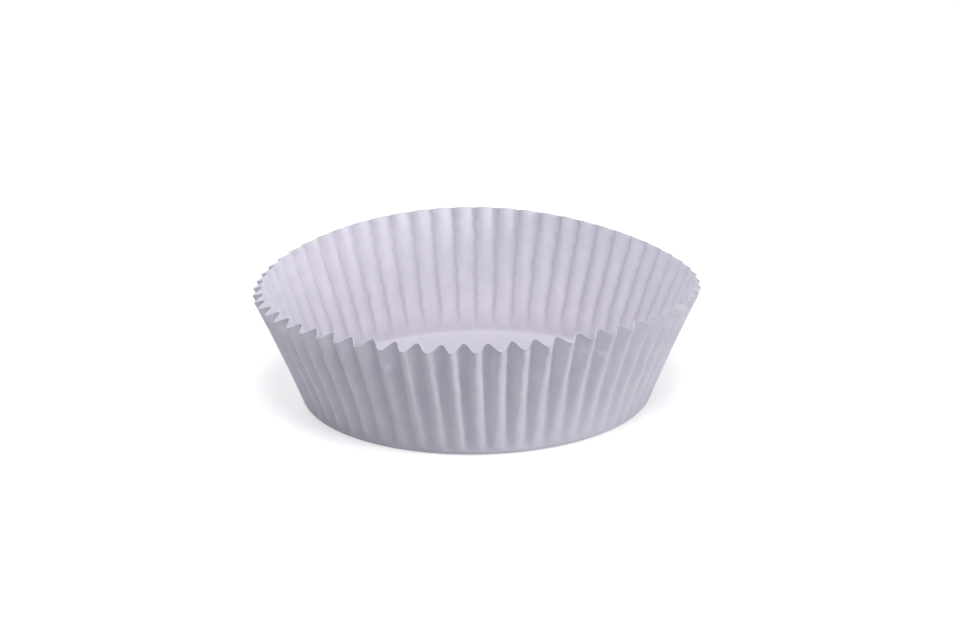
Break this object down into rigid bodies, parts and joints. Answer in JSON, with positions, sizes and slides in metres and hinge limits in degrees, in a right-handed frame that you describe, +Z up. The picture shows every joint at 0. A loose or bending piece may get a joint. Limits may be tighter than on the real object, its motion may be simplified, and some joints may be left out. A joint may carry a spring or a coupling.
{
  "type": "cupcake liner",
  "caption": "Round fluted paper baking cup with a flat floor and a flared, finely pleated wall, open at the top to hold cake batter.",
  "frame": {"origin": "centre of the floor's underside, on the table", "axes": "+Z up along the axis of the cup, +X through an outer ridge of the pleats"},
  "size_m": [0.065, 0.065, 0.0183],
  "materials": {
    "greaseproof_paper": "matte"
  },
  "bodies": {
    "root": {"liner": "greaseproof_paper"}
  },
  "joints": []
}
